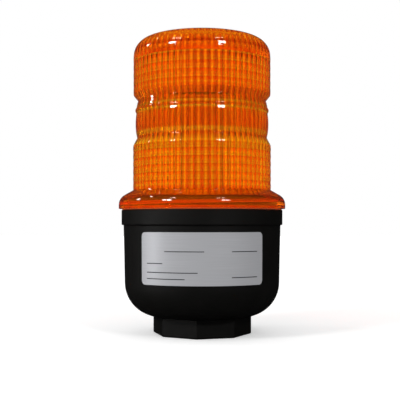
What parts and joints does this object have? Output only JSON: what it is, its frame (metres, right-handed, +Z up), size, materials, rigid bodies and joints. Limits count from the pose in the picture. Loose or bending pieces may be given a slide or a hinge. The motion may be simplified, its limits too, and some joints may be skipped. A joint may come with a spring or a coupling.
{
  "type": "warning light",
  "caption": "Pipe-mounted LED warning light: ringed amber lens that screws onto a round black housing with an octagonal threaded hub below.",
  "frame": {"origin": "centre of the hub's open mouth, on the part's axis, at its lowest face", "axes": "+Z up along the axis from the hub to the lens's crown; the rating label faces -Y"},
  "size_m": [0.084, 0.084, 0.1514],
  "materials": {
    "black_housing": "moulded, fine matte grain",
    "label_foil": "satin foil, plain rules",
    "amber_lens": "clear amber polycarbonate, polished",
    "seal_silicone": "moulded red oxide silicone",
    "green_board": "solder mask",
    "white_board": "white solder mask",
    "brass": "turned",
    "steel": "zinc plated",
    "aluminium": "extruded",
    "black_moulding": "moulded",
    "green_moulding": "moulded",
    "yellow_moulding": "moulded",
    "ferrite": "sintered",
    "winding_tape": "polyester tape",
    "can_sleeve": "shrunk sleeve",
    "blue_dip": "dipped epoxy",
    "led_resin": "cast silicone over phosphor",
    "resistor_coat": "dipped lacquer"
  },
  "bodies": {
    "base": {"housing": "black_housing", "rating_label": "label_foil", "driver_board": "green_board", "standoffs": "brass", "led_base_board": "white_board", "base_board_screws": "steel", "heat_sink_column": "aluminium", "tower_cap": "black_moulding", "cap_screw": "steel", "column_screw": "steel", "link_socket": "black_moulding", "link_header": "black_moulding", "terminal_block": "green_moulding", "terminal_screws": "steel", "transformer_core": "ferrite", "transformer_winding": "winding_tape", "smoothing_capacitor": "can_sleeve", "film_capacitor": "yellow_moulding", "varistor": "blue_dip", "fuse": "black_moulding", "bridge_rectifier": "black_moulding", "flash_controller": "black_moulding", "inrush_resistor": "resistor_coat", "led_board_1": "white_board", "led_board_2": "white_board", "led_board_3": "white_board", "led_board_4": "white_board", "led_board_5": "white_board", "led_board_6": "white_board", "led_row_1": "led_resin", "led_row_2": "led_resin", "led_row_3": "led_resin", "led_row_4": "led_resin", "led_row_5": "led_resin", "led_row_6": "led_resin"},
    "lens_seal": {"lens_gasket": "seal_silicone"},
    "lens": {"lens": "amber_lens"}
  },
  "joints": [
    {"name": "lens_lift", "type": "slide", "parent": "base", "child": "lens_seal", "axis": [0, 0, 1], "range_m": [0, 0.006]},
    {"name": "lens_turn", "type": "hinge", "parent": "lens_seal", "child": "lens", "pos_m": [0, 0, 0.0629], "axis": [0, 0, 1], "range_deg": [0, 720]}
  ],
  "couplings": [
    {"joint": "lens_lift", "follows": "lens_turn", "m_per_rad": 0.00047746}
  ]
}
